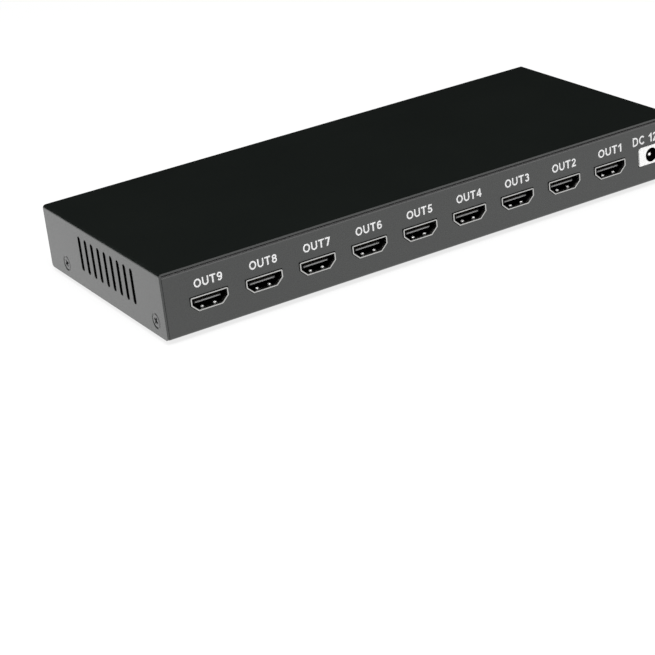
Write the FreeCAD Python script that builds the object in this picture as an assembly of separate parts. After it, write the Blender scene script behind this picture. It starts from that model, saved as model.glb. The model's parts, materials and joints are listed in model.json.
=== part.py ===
import FreeCAD, Part
import math
import os

# Video wall controller: a folded sheet-metal box with nine video outputs on one
# long side and the inputs and controls on the other.
# Millimetres. X runs along the output panel, Y from the output panel to the
# input panel, Z up. The origin is on the resting plane, under the middle of the
# overall size.
# Distances along a panel are measured from its left end as seen from outside.
# Heights are measured from the underside of the housing.

# Housing
housing_width = 226.0
housing_depth = 98.0
housing_height = 25.0
sheet = 0.8
cover_bend_radius = 1.3
panel_bend_radius = 0.9
sheet_gap = 0.15
panel_lip = 6.0

# Ventilation slots and screws of both end walls, which sit nearer to the output panel
end_shift = 4.0
vent_count = 9
vent_pitch = 5.45
vent_width = 2.3
vent_length = 13.6
vent_height = 13.9

# Cover screws and the tray's tabs behind them
screw_span = 75.0
screw_height = 5.6
screw_radius = 1.5
screw_length = 4.0
screw_head_radius = 2.9
screw_head_depth = 0.8
screw_sink = 0.1
tab_width = 8.0
tab_height = 10.5
tab_relief = 2.0
thread_clearance = 0.05

# Rubber feet
foot_height = 1.8
foot_size = 10.0
foot_chamfer = 0.8
foot_inset_x = 16.0
foot_inset_y = 13.0

# Circuit board and its fastenings
standoff_height = 5.2
standoff_flats = 5.5
board_thickness = 1.6
board_panel_gap = 0.9
board_end_gap = 0.7
board_nut_height = 2.0
standoff_inset_x = 8.5
standoff_inset_y = 26.0
solder_reach = 0.8
slot_clearance = 0.2

# Video sockets: nine outputs and one input
output_count = 9
output_left_inset = 17.9
output_right_inset = 32.1
output_proud = 0.4
video_input_place = 32.3
video_input_recess = 0.8
video_cutout_gap = 0.2
video_input_cutout_gap = 0.8
video_top_width = 14.8
video_bottom_width = 9.54
video_shell_height = 5.55
video_side_height = 3.0
video_wall = 0.45
video_corner = 0.6
video_depth = 11.5
video_leg_width = 2.0
video_leg_place = 7.0
finger_width = 1.8
finger_length = 4.6
finger_slit = 0.35
finger_start = 0.6
finger_dip = 0.45
finger_spacing = 5.0
tongue_width = 10.6
tongue_thickness = 1.1
tongue_rise = 0.0
tongue_recess = 2.05
tongue_block_depth = 3.0
insulator_clearance = 0.05

# Dual-link video socket
dual_place = 68.45
dual_height = 13.2
dual_reach = 5.0
dual_top_width = 24.0
dual_bottom_width = 22.4
dual_shell_height = 8.1
dual_corner = 1.6
dual_wall = 0.45
dual_screw_span = 33.3
dual_flange_width = 38.0
dual_flange_height = 11.0
dual_face_recess = 0.25
dual_columns = 8
dual_pitch = 1.905
dual_first_column = -9.6
dual_hole_width = 0.95
dual_hole_depth = 3.2
dual_cross_place = 8.1
dual_cross_length = 5.4
dual_cross_width = 0.35
dual_cross_pins = 2.4
dual_body_depth = 12.0

# Nine-way serial socket
serial_place = 104.4
serial_height = 14.2
serial_reach = 6.0
serial_top_width = 16.3
serial_bottom_width = 14.2
serial_shell_height = 7.9
serial_corner = 2.0
serial_wall = 0.45
serial_screw_span = 24.99
serial_flange_width = 30.8
serial_flange_height = 12.5
serial_face_recess = 0.6
serial_pitch = 2.77
serial_row_spacing = 2.84
serial_row_counts = (5, 4)
serial_hole_width = 1.1
serial_hole_depth = 3.6
serial_body_depth = 10.0

# What both flanged sockets share
flange_thickness = 0.8
cutout_gap = 0.4
body_inset = 1.5
body_peg_width = 2.0
body_peg_length = 2.4
body_peg_set_back = 7.0

# Hexagonal jackscrews
jackscrew_flats = 4.75
jackscrew_length = 5.0
jackscrew_bore_radius = 1.42
jackscrew_bore_depth = 4.2

# Optical audio socket with its spring-loaded shutter
optical_place = 131.0
optical_opening_width = 8.4
optical_opening_bottom = 9.9
optical_opening_top = 19.5
optical_chamfer = 1.6
optical_wall = 0.7
optical_cavity_depth = 11.0
optical_body_depth = 14.0
optical_cutout_gap = 0.2
shutter_set_back = 1.1
shutter_thickness = 0.8
shutter_play = 0.15
shutter_pin_radius = 0.55
shutter_pin_play = 0.05
shutter_pin_reach = 0.4
shutter_pin_drop = 0.75
shutter_rib_width = 0.7
shutter_rib_height = 0.35
shutter_rib_spacing = 3.6
emitter_width = 5.0
emitter_height = 5.4
emitter_clearance = 0.05
emitter_lens_radius = 1.0
emitter_lens_reach = 0.8

# Power inlet
jack_inset = 11.8
jack_reach = 0.4
jack_width = 11.9
jack_height = 7.3
jack_corner = 1.5
jack_hole_height = 3.5
jack_hole_radius = 2.85
jack_hole_depth = 9.5
jack_body_depth = 11.0
jack_pin_radius = 1.05
jack_pin_recess = 1.6
jack_pin_root_width = 2.4
jack_pin_tail = 1.5
jack_cutout_gap = 0.3
jack_leaf_width = 1.6
jack_leaf_thickness = 0.2
jack_leaf_length = 7.0

# Remote-control receiver and its window
receiver_place = 14.75
window_width = 4.3
window_bottom = 8.0
window_top = 13.8
receiver_width = 5.4
receiver_body_height = 6.4
receiver_body_depth = 3.0
receiver_lens_radius = 2.1
receiver_lens_gap = 0.3
receiver_lead_width = 0.5
receiver_lead_pitch = 1.7

# Status lights
light_places = (43.2, 48.3)
light_height = 7.3
light_hole_radius = 0.95
light_body_width = 2.0
light_body_depth = 3.0
light_wing_reach = 0.9
light_wing_thickness = 0.3
light_notch_gap = 0.2

# Parts on the board: places from its middle, or insets from the housing's power inlet end
processor_size = 27.0
processor_thickness = 1.6
processor_place = (-22.0, 6.0)
heat_sink_size = 32.0
heat_sink_base = 1.8
heat_sink_height = 8.0
fin_count = 9
fin_thickness = 1.1
chip_edge = 0.25
memory_size = (9.0, 13.0, 1.1)
memory_places = ((8.0, 12.0), (8.0, -4.0))
transmitter_size = (9.0, 9.0, 1.0)
transmitter_set_back = 17.5
decoder_size = (14.0, 14.0, 1.4)
decoder_insets = ((31.0, 18.0), (63.0, 14.0))
controller_size = (10.0, 10.0, 1.4)
controller_place = (-45.0, 27.0)
inductor_size = 6.6
inductor_height = 3.2
inductor_insets = ((41.0, -14.0), (31.0, -14.0), (21.0, -14.0))
capacitor_radius = 2.5
capacitor_height = 5.4
capacitor_base = 5.3
capacitor_base_height = 0.8
capacitor_insets = ((36.0, -4.0), (26.0, -4.0))

# Places that follow from the sizes
output_pitch = (housing_width - output_left_inset - output_right_inset) / (output_count - 1)
jack_place = housing_width - jack_inset
input_reach = max(dual_reach, serial_reach, jackscrew_length)
half_width = housing_width / 2
output_face = -housing_depth / 2 + (jack_reach - input_reach) / 2
input_face = output_face + housing_depth
middle_y = (output_face + input_face) / 2
underside = foot_height
housing_top = underside + housing_height
board_bottom = underside + sheet + standoff_height
board_top = board_bottom + board_thickness
board_output_edge = output_face + sheet + board_panel_gap
board_input_edge = input_face - sheet - board_panel_gap
tray_half_width = half_width - sheet - sheet_gap
board_half_width = half_width - screw_sink - screw_length - board_end_gap
screw_z = underside + screw_height
video_center = board_top + video_shell_height / 2


def vector(x, y, z):
    return FreeCAD.Vector(x, y, z)


def block(x_low, x_high, y_low, y_high, z_low, z_high):
    """A box between two corners."""
    return Part.makeBox(x_high - x_low, y_high - y_low, z_high - z_low, vector(x_low, y_low, z_low))


def prism(points, direction):
    """The outline through the points, pushed along a direction."""
    outline = Part.makePolygon(list(points) + [points[0]])
    return Part.Face(outline).extrude(direction)


def rod(radius, start, end):
    """A round rod from one point to another."""
    axis = end - start
    return Part.makeCylinder(radius, axis.Length, start, axis)


def cone(start_radius, end_radius, start, end):
    """A cone between two points."""
    axis = end - start
    return Part.makeCone(start_radius, end_radius, axis.Length, start, axis)


def fuse_all(shapes):
    """One solid from shapes that touch or overlap."""
    shapes = list(shapes)
    if len(shapes) == 1:
        return shapes[0]
    return shapes[0].multiFuse(shapes[1:]).removeSplitter()


def cut_all(shape, tools):
    """A shape with every tool taken out of it."""
    return shape.cut(Part.makeCompound(list(tools)))


def edges_along(shape, direction, length):
    """The straight edges of a given length that run along a direction."""
    found = []
    for edge in shape.Edges:
        if edge.Curve.TypeId != "Part::GeomLine" or abs(edge.Length - length) > 0.001:
            continue
        if abs(edge.tangentAt(edge.FirstParameter).dot(direction)) > 0.999:
            found.append(edge)
    return found


def rounded_path(points, radius):
    """Straight runs joined by arcs of one radius, through the given corners."""
    edges = []
    start = points[0]
    for before, corner, after in zip(points, points[1:], points[2:]):
        backward = (before - corner).normalize()
        forward = (after - corner).normalize()
        half_angle = backward.getAngle(forward) / 2
        reach = radius / math.tan(half_angle)
        bisector = (backward + forward).normalize()
        arc_start = corner + backward * reach
        arc_end = corner + forward * reach
        arc_middle = corner + bisector * (radius / math.sin(half_angle) - radius)
        edges.append(Part.LineSegment(start, arc_start).toShape())
        edges.append(Part.Arc(arc_start, arc_middle, arc_end).toShape())
        start = arc_end
    edges.append(Part.LineSegment(start, points[-1]).toShape())
    return edges


def folded_sheet(outer_points, inner_points, direction, radius):
    """A folded sheet from the corners of its outer and inner faces, rounded outside the bends."""
    outer = rounded_path(outer_points, radius)
    inner = Part.makePolygon([outer_points[0]] + inner_points + [outer_points[-1]]).Edges
    return Part.Face(Part.Wire(Part.__sortEdges__(outer + inner))).extrude(direction)


def on_output_panel(shape, place, height):
    """Sets a piece drawn about its own centre, with Y inward, on the output panel."""
    placed = shape.copy()
    placed.translate(vector(place - half_width, output_face, height))
    return placed


def on_input_panel(shape, place, height):
    """The same for the input panel, which faces the other way."""
    placed = shape.copy()
    placed.rotate(vector(0, 0, 0), vector(0, 0, 1), 180)
    placed.translate(vector(half_width - place, input_face, height))
    return placed


# Housing

def screw_places():
    """Side and Y of the four cover screws."""
    middle = middle_y - end_shift
    return [(side, middle + end * screw_span / 2) for side in (-1, 1) for end in (-1, 1)]


def make_top_cover():
    """Roof and both end walls, folded from one sheet."""
    outer = [
        vector(-half_width, output_face, underside),
        vector(-half_width, output_face, housing_top),
        vector(half_width, output_face, housing_top),
        vector(half_width, output_face, underside),
    ]
    inner = [
        vector(-half_width + sheet, output_face, underside),
        vector(-half_width + sheet, output_face, housing_top - sheet),
        vector(half_width - sheet, output_face, housing_top - sheet),
        vector(half_width - sheet, output_face, underside),
    ]
    cover = folded_sheet(outer, inner, vector(0, housing_depth, 0), cover_bend_radius)
    low_corners = [e for e in edges_along(cover, vector(1, 0, 0), sheet)
                   if e.CenterOfMass.z < underside + sheet]
    cover = cover.makeFillet(cover_bend_radius, low_corners)
    cuts = vent_slots()
    for side, y in screw_places():
        cuts.append(countersink(side, y))
        cuts.append(screw_hole(side, y))
    return cut_all(cover, cuts)


def vent_slots():
    """The rows of upright slots in both end walls."""
    slots = []
    low = underside + vent_height - vent_length / 2
    for side in (-1, 1):
        start, end = sorted((side * half_width, side * (half_width - sheet)))
        for index in range(vent_count):
            y = middle_y - end_shift + (index - (vent_count - 1) / 2) * vent_pitch
            slots.append(block(start, end, y - vent_width / 2, y + vent_width / 2, low, low + vent_length))
    return slots


def screw_hole(side, y):
    """A hole for a cover screw's shank, through the end wall and the tab behind it."""
    return rod(screw_radius + thread_clearance, vector(side * half_width, y, screw_z),
               vector(side * (tray_half_width - 2 * sheet), y, screw_z))


def countersink(side, y):
    """The cone that a screw head fills, from the wall's outer face inward."""
    slope = (screw_head_radius - screw_radius) / screw_head_depth
    mouth = screw_head_radius + slope * screw_sink
    return cone(mouth, screw_radius, vector(side * half_width, y, screw_z),
                vector(side * (half_width - screw_sink - screw_head_depth), y, screw_z))


def make_chassis_tray():
    """Floor and both long panels, folded from one sheet with tabs for the cover screws."""
    panel_top = housing_top - sheet - sheet_gap
    left = -tray_half_width
    outer = [
        vector(left, output_face + panel_lip, panel_top),
        vector(left, output_face, panel_top),
        vector(left, output_face, underside),
        vector(left, input_face, underside),
        vector(left, input_face, panel_top),
        vector(left, input_face - panel_lip, panel_top),
    ]
    inner = [
        vector(left, output_face + panel_lip, panel_top - sheet),
        vector(left, output_face + sheet, panel_top - sheet),
        vector(left, output_face + sheet, underside + sheet),
        vector(left, input_face - sheet, underside + sheet),
        vector(left, input_face - sheet, panel_top - sheet),
        vector(left, input_face - panel_lip, panel_top - sheet),
    ]
    tray = folded_sheet(outer, inner, vector(2 * tray_half_width, 0, 0), panel_bend_radius)
    reliefs = []
    tabs = []
    for side, y in screw_places():
        reliefs.append(tab_relief_cut(side, y))
        tabs.append(side_tab(side, y))
    tray = fuse_all([cut_all(tray, reliefs)] + tabs)
    screw_holes = [screw_hole(side, y) for side, y in screw_places()]
    return cut_all(tray, panel_cutouts() + screw_holes)


def tab_relief_cut(side, y):
    """Frees the floor around a tab so that the tab can bend."""
    reach = tab_width / 2 + tab_relief
    inner = tray_half_width - tab_relief
    low, high = sorted((side * inner, side * (tray_half_width + sheet)))
    return block(low, high, y - reach, y + reach, underside - sheet, underside + 2 * sheet)


def side_tab(side, y):
    """A tab bent up from the floor for a cover screw."""
    start = y - tab_width / 2
    end = y + tab_width / 2
    outer = side * tray_half_width
    low, high = sorted((side * (tray_half_width - tab_relief), outer))
    root = block(low, high, start, end, underside, underside + sheet)
    low, high = sorted((side * (tray_half_width - sheet), outer))
    return root.fuse(block(low, high, start, end, underside, underside + tab_height))


def panel_cutouts():
    """Every opening in the two long panels."""
    through = 3 * sheet
    cuts = []
    for settle, place, reach in video_sockets():
        gap = video_cutout_gap if reach > 0 else video_input_cutout_gap
        opening = outline_prism(video_outline(gap), -sheet, through)
        cuts.append(settle(opening, place, video_center))
    cuts.append(on_output_panel(jack_prism(jack_cutout_gap, -sheet, through), jack_place, board_top))
    for place, height, outline, corner, span in flanged_sockets():
        opening = outline_prism(grown(outline, cutout_gap), -sheet, through, corner)
        cuts.append(on_input_panel(opening, place, underside + height))
    cuts.append(on_input_panel(receiver_window(), receiver_place, underside))
    for place in light_places:
        hole = rod(light_hole_radius, vector(0, -sheet, 0), vector(0, through, 0))
        cuts.append(on_input_panel(hole, place, underside + light_height))
    half = optical_opening_width / 2 + optical_wall + optical_cutout_gap
    cuts.append(on_input_panel(
        block(-half, half, -sheet, through,
              optical_opening_bottom - optical_wall - optical_cutout_gap,
              optical_opening_top + optical_wall + optical_cutout_gap),
        optical_place, underside))
    return cuts


def flanged_sockets():
    """Place, height, outline, corner radius and screw span of the two flanged sockets."""
    dual = d_outline(dual_top_width, dual_bottom_width, dual_shell_height)
    serial = d_outline(serial_top_width, serial_bottom_width, serial_shell_height)
    return [(dual_place, dual_height, dual, dual_corner, dual_screw_span),
            (serial_place, serial_height, serial, serial_corner, serial_screw_span)]


def receiver_window():
    """An upright window with an arched top."""
    radius = window_width / 2
    shoulder = window_top - radius
    low = block(-radius, radius, -sheet, 2 * sheet, window_bottom, shoulder)
    return low.fuse(rod(radius, vector(0, -sheet, shoulder), vector(0, 2 * sheet, shoulder)))


def standoff_places():
    """X and Y of the board's fastenings."""
    columns = (-half_width + standoff_inset_x, 0, half_width - standoff_inset_x)
    rows = (output_face + standoff_inset_y, input_face - standoff_inset_y)
    return [(x, y) for x in columns for y in rows]


def make_cover_screws():
    """Four countersunk screws."""
    screws = []
    for side, y in screw_places():
        face = half_width - screw_sink
        seat = face - screw_head_depth
        head = cone(screw_head_radius, screw_radius, vector(side * face, y, screw_z),
                    vector(side * seat, y, screw_z))
        shank = rod(screw_radius, vector(side * seat, y, screw_z),
                    vector(side * (face - screw_length), y, screw_z))
        screws.append(head.fuse(shank))
    return Part.makeCompound(screws)


def make_feet():
    """Four square rubber pads with chamfered lower edges."""
    feet = []
    half = foot_size / 2
    for side in (-1, 1):
        for y in (output_face + foot_inset_y, input_face - foot_inset_y):
            x = side * (half_width - foot_inset_x)
            foot = block(x - half, x + half, y - half, y + half, 0, foot_height)
            feet.append(foot.makeChamfer(foot_chamfer, [e for e in foot.Edges if e.CenterOfMass.z < 0.001]))
    return Part.makeCompound(feet)


# Board

def make_main_board():
    """The circuit board with its leg slots, peg holes and notches."""
    board = block(-board_half_width, board_half_width, board_output_edge, board_input_edge,
                  board_bottom, board_top)
    cuts = []
    for settle, place, reach in video_sockets():
        for side in (-1, 1):
            slot = leg_bar(side, slot_clearance, board_bottom, board_top)
            slot.translate(vector(0, -reach, 0))
            cuts.append(settle(slot, place, 0))
    for place, height, outline, corner, span in flanged_sockets():
        for end in (-1, 1):
            cuts.append(on_input_panel(peg(end * span / 2, board_bottom, slot_clearance / 2), place, 0))
    for place in light_places:
        half = light_body_width / 2 + light_notch_gap
        notch = block(-half, half, 0, sheet + board_panel_gap + light_body_depth, board_bottom, board_top)
        cuts.append(on_input_panel(notch, place, 0))
    for lead in receiver_leads(slot_clearance):
        cuts.append(on_input_panel(lead, receiver_place, 0))
    return cut_all(board, cuts)


def make_board_standoffs():
    """Hexagonal standoffs on the floor."""
    return Part.makeCompound([hexagon(standoff_flats, vector(x, y, underside + sheet),
                                      vector(0, 0, standoff_height)) for x, y in standoff_places()])


def hexagon(flats, center, direction):
    """A hexagonal bar across the flats, from a centre along Y or Z."""
    corner = flats / math.sqrt(3)
    points = []
    for index in range(6):
        angle = math.radians(60 * index)
        side = corner * math.sin(angle)
        rise = corner * math.cos(angle)
        points.append(center + (vector(side, rise, 0) if direction.z else vector(side, 0, rise)))
    return prism(points, direction)


def make_board_nuts():
    """Hexagonal nuts over the standoffs."""
    return Part.makeCompound([hexagon(standoff_flats, vector(x, y, board_top),
                                      vector(0, 0, board_nut_height)) for x, y in standoff_places()])


# Video sockets

def output_places():
    """Centres of the outputs along their panel, from the ninth to the first."""
    return [output_left_inset + index * output_pitch for index in range(output_count)]


def video_sockets():
    """Panel, place and outward reach of every video socket, outputs first."""
    sockets = [(on_output_panel, place, output_proud) for place in output_places()]
    return sockets + [(on_input_panel, video_input_place, -video_input_recess)]


def video_outline(growth):
    """Corners of the shell's outline: upright sides above, slanted sides below."""
    top = video_shell_height / 2
    points = [(video_top_width / 2, top), (video_top_width / 2, top - video_side_height),
              (video_bottom_width / 2, -top), (-video_bottom_width / 2, -top),
              (-video_top_width / 2, top - video_side_height), (-video_top_width / 2, top)]
    return grown(points, growth)


def grown(points, growth):
    """An outline of X and Z corners, clockwise, with every side moved outward."""
    moved = []
    count = len(points)
    for index in range(count):
        before = points[index - 1]
        corner = points[index]
        after = points[(index + 1) % count]
        first = outward(before, corner)
        second = outward(corner, after)
        share = growth / (1 + first[0] * second[0] + first[1] * second[1])
        moved.append((corner[0] + share * (first[0] + second[0]),
                      corner[1] + share * (first[1] + second[1])))
    return moved


def outward(start, end):
    """The unit normal on the left of a clockwise side."""
    run_x = end[0] - start[0]
    run_z = end[1] - start[1]
    length = math.hypot(run_x, run_z)
    return (-run_z / length, run_x / length)


def outline_prism(points, y_start, length, corner=0):
    """An X and Z outline, with round corners if asked, pushed along Y."""
    corners = [vector(x, y_start, z) for x, z in points]
    if not corner:
        return prism(corners, vector(0, length, 0))
    start = (corners[-1] + corners[0]) * 0.5
    wire = Part.Wire(rounded_path([start] + corners + [start], corner))
    return Part.Face(wire).extrude(vector(0, length, 0))


def video_legs():
    """A leg on each side that pins a shell to the board."""
    shoulder = video_shell_height / 2 - video_side_height
    foot = -video_shell_height / 2 - board_thickness - solder_reach
    return [leg_bar(side, 0, foot, shoulder + video_wall) for side in (-1, 1)]


def leg_bar(side, play, low, high):
    """A flat upright bar in line with one side of a shell."""
    outer = video_top_width / 2
    start, end = sorted((side * (outer - video_wall - play), side * (outer + play)))
    half = video_leg_width / 2 + play
    return block(start, end, video_leg_place - half, video_leg_place + half, low, high)


def make_video_shell():
    """A shield with rounded upper corners, sprung fingers in its floor and board legs."""
    body = outline_prism(video_outline(0), 0, video_depth)
    upper = [e for e in edges_along(body, vector(0, 1, 0), video_depth)
             if e.CenterOfMass.z > video_shell_height / 2 - 0.001]
    hollow = outline_prism(video_outline(-video_wall), 0, video_depth)
    shell = body.makeFillet(video_corner, upper).cut(hollow)
    windows = []
    fingers = []
    for side in (-1, 1):
        windows.append(finger_window(side * finger_spacing / 2))
        fingers.append(spring_finger(side * finger_spacing / 2))
    return fuse_all([cut_all(shell, windows)] + fingers + video_legs())


def finger_window(x):
    """The opening in a shell's floor that a finger is cut from."""
    floor_level = -video_shell_height / 2
    half = finger_width / 2 + finger_slit
    return block(x - half, x + half, finger_start, finger_start + finger_length + finger_slit,
                 floor_level, floor_level + video_wall)


def spring_finger(x):
    """A finger that rises into the socket and comes back to its free end."""
    floor_level = -video_shell_height / 2
    start = finger_start + finger_slit
    root = start + finger_length
    crest = start + finger_length / 3
    under = [(root, floor_level), (crest, floor_level + finger_dip), (start, floor_level)]
    over = [(y, z + video_wall) for y, z in reversed(under)]
    corners = [vector(x - finger_width / 2, y, z) for y, z in under + over]
    return prism(corners, vector(finger_width, 0, 0))


def make_video_insulator():
    """The tongue and the block that closes the back of a shell."""
    block_start = video_depth - tongue_block_depth
    back = outline_prism(video_outline(-video_wall - insulator_clearance), block_start, tongue_block_depth)
    tongue = block(-tongue_width / 2, tongue_width / 2, tongue_recess, block_start,
                   tongue_rise - tongue_thickness / 2, tongue_rise + tongue_thickness / 2)
    front = [e for e in edges_along(tongue, vector(1, 0, 0), tongue_width)
             if e.CenterOfMass.y < tongue_recess + tongue_thickness / 2]
    tongue = tongue.makeChamfer(tongue_thickness / 4, front)
    return back.fuse(tongue)


# Flanged sockets

def d_outline(top_width, bottom_width, height):
    """Corners of a D-shaped outline, wider at the top, clockwise."""
    return [(top_width / 2, height / 2), (bottom_width / 2, -height / 2),
            (-bottom_width / 2, -height / 2), (-top_width / 2, height / 2)]


def make_flanged_shell(outline, corner, reach, wall, flange_width, flange_height):
    """A D-shaped shield drawn out of a flange that lies behind the panel."""
    flange_back = sheet + flange_thickness
    shield = outline_prism(outline, -reach, reach + flange_back, corner)
    flange = block(-flange_width / 2, flange_width / 2, sheet, flange_back,
                   -flange_height / 2, flange_height / 2)
    hollow = outline_prism(grown(outline, -wall), -reach, reach + flange_back, corner - wall)
    return fuse_all([shield, flange]).cut(hollow)


def make_flanged_insulator(outline, corner, reach, recess, body, screw_span, sockets):
    """The insulator: a nose inside the shield and a body that stands on the board."""
    body_width, body_low, body_high, body_depth = body
    body_start = sheet + flange_thickness
    nose = outline_prism(grown(outline, -insulator_clearance), -reach + recess,
                         reach - recess + body_start, corner - insulator_clearance)
    base = block(-body_width / 2, body_width / 2, body_start, body_start + body_depth, body_low, body_high)
    pegs = [peg(end * screw_span / 2, body_low - body_peg_length, 0) for end in (-1, 1)]
    return cut_all(fuse_all([nose, base] + pegs), sockets)


def peg(x, low, play):
    """A square peg that reaches up from a level by its length."""
    half = body_peg_width / 2 + play
    return block(x - half, x + half, body_peg_set_back - half, body_peg_set_back + half,
                 low, low + body_peg_length)


def dual_contact_places():
    """Centres of the dual-link socket's contact holes, three rows and four round the cross."""
    grid = [(dual_first_column + column * dual_pitch, row * dual_pitch)
            for row in (1, 0, -1) for column in range(dual_columns)]
    half = dual_cross_pins / 2
    around = [(dual_cross_place + x * half, z * half) for x in (-1, 1) for z in (-1, 1)]
    return grid + around


def dual_cross():
    """The crossed slot between the four contacts on the right."""
    start = -dual_reach + dual_face_recess
    arm = dual_cross_length / 2
    thin = dual_cross_width / 2
    x = dual_cross_place
    return fuse_all([block(x - arm, x + arm, start, start + dual_hole_depth, -thin, thin),
                     block(x - thin, x + thin, start, start + dual_hole_depth,
                           -dual_cross_pins, dual_cross_pins)])


def make_dual_socket():
    """Shell and insulator of the dual-link video socket."""
    outline = d_outline(dual_top_width, dual_bottom_width, dual_shell_height)
    shell = make_flanged_shell(outline, dual_corner, dual_reach, dual_wall, dual_flange_width,
                               dual_flange_height)
    face = -dual_reach + dual_face_recess
    holes = square_holes(dual_contact_places(), dual_hole_width, face, dual_hole_depth)
    low = board_top - underside - dual_height
    body = (dual_flange_width - 2 * body_inset, low, dual_flange_height / 2, dual_body_depth)
    insulator = make_flanged_insulator(grown(outline, -dual_wall), dual_corner - dual_wall, dual_reach,
                                       dual_face_recess, body, dual_screw_span, holes + [dual_cross()])
    return shell, insulator


def square_holes(places, width, start, depth):
    """Square bars along Y that the contact holes are cut with."""
    half = width / 2
    return [block(x - half, x + half, start, start + depth, z - half, z + half) for x, z in places]


def serial_contact_places():
    """Centres of the serial socket's two rows of contacts."""
    places = []
    for count, level in zip(serial_row_counts, (1, -1)):
        for index in range(count):
            places.append(((index - (count - 1) / 2) * serial_pitch, level * serial_row_spacing / 2))
    return places


def make_serial_socket():
    """Shell and insulator of the nine-way serial socket."""
    outline = d_outline(serial_top_width, serial_bottom_width, serial_shell_height)
    shell = make_flanged_shell(outline, serial_corner, serial_reach, serial_wall, serial_flange_width,
                               serial_flange_height)
    face = -serial_reach + serial_face_recess
    holes = square_holes(serial_contact_places(), serial_hole_width, face, serial_hole_depth)
    low = board_top - underside - serial_height
    body = (serial_flange_width - 2 * body_inset, low, serial_flange_height / 2 - body_inset,
            serial_body_depth)
    insulator = make_flanged_insulator(grown(outline, -serial_wall), serial_corner - serial_wall,
                                       serial_reach, serial_face_recess, body, serial_screw_span, holes)
    return shell, insulator


def make_jackscrew():
    """A hexagonal jackscrew with a threaded hole, standing on the panel."""
    tip = vector(0, -jackscrew_length, 0)
    head = hexagon(jackscrew_flats, tip, vector(0, jackscrew_length, 0))
    return head.cut(rod(jackscrew_bore_radius, tip, tip + vector(0, jackscrew_bore_depth, 0)))


def make_jackscrews():
    """Two jackscrews for each flanged socket."""
    screw = make_jackscrew()
    placed = []
    for place, height, outline, corner, span in flanged_sockets():
        for end in (-1, 1):
            placed.append(on_input_panel(screw, place + end * span / 2, underside + height))
    return Part.makeCompound(placed)


# Optical audio socket

def make_optical_body():
    """A moulded socket with a keyed opening, a cavity for the plug and bearings for the shutter."""
    half = optical_opening_width / 2
    outer = half + optical_wall
    low = optical_opening_bottom
    high = optical_opening_top
    floor_level = board_top - underside
    nose = block(-outer, outer, 0, optical_body_depth, low - optical_wall, high + optical_wall)
    pedestal = block(-outer, outer, sheet + board_panel_gap, optical_body_depth, floor_level,
                     low - optical_wall)
    key = [(half, high), (half, low + optical_chamfer), (half - optical_chamfer, low),
           (-half + optical_chamfer, low), (-half, low + optical_chamfer), (-half, high)]
    cavity = outline_prism(key, 0, optical_cavity_depth)
    return cut_all(fuse_all([nose, pedestal]), [cavity, shutter_pin(shutter_pin_play),
                                                emitter_block(emitter_clearance)])


def emitter_block(play):
    """The emitter's body, in the wall at the back of the cavity."""
    half = emitter_width / 2 + play
    rise = emitter_height / 2 + play
    level = emitter_level()
    return block(-half, half, optical_cavity_depth, optical_body_depth, level - rise, level + rise)


def emitter_level():
    """Height of the optical axis, in the middle of the opening."""
    return (optical_opening_bottom + optical_opening_top) / 2


def shutter_axis():
    """Inward distance and height of the shutter's hinge."""
    return (shutter_set_back + shutter_thickness / 2, optical_opening_top - shutter_pin_drop)


def shutter_pin(play):
    """The shutter's hinge pin, with its ends in the side walls."""
    depth, level = shutter_axis()
    reach = optical_opening_width / 2 + shutter_pin_reach + play
    return rod(shutter_pin_radius + play, vector(-reach, depth, level), vector(reach, depth, level))


def make_optical_shutter():
    """A flap that hangs behind the opening and swings inward."""
    depth, level = shutter_axis()
    half = optical_opening_width / 2 - shutter_play
    low = optical_opening_bottom + shutter_play
    cut = optical_chamfer
    front = depth - shutter_thickness / 2
    flap_outline = [(half, level), (half, low + cut), (half - cut, low), (-half + cut, low),
                    (-half, low + cut), (-half, level)]
    flap = outline_prism(flap_outline, front, shutter_thickness)
    ribs = []
    for side in (-1, 1):
        x = side * shutter_rib_spacing / 2
        ribs.append(block(x - shutter_rib_width / 2, x + shutter_rib_width / 2,
                          front - shutter_rib_height, front, low + cut, level - shutter_pin_radius))
    return fuse_all([flap, shutter_pin(0)] + ribs)


def make_optical_emitter():
    """The light emitter with its lens towards the plug and its leads down to the board."""
    front = vector(0, optical_cavity_depth, emitter_level())
    lens = rod(emitter_lens_radius, front - vector(0, emitter_lens_reach, 0), front)
    plate = block(-emitter_width / 2, emitter_width / 2, optical_body_depth, optical_body_depth + optical_wall,
                  board_top - underside, emitter_level() + emitter_height / 2)
    return fuse_all([emitter_block(0), lens, plate])


# Power inlet

def jack_prism(growth, y_start, length):
    """Flat bottom, upright sides and round upper corners, measured from the board, pushed along Y."""
    half = jack_width / 2 + growth
    top = jack_height + growth
    body = block(-half, half, y_start, y_start + length, -growth, top)
    upper = [e for e in edges_along(body, vector(0, 1, 0), length) if e.CenterOfMass.z > top - 0.001]
    return body.makeFillet(jack_corner + growth, upper)


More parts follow.
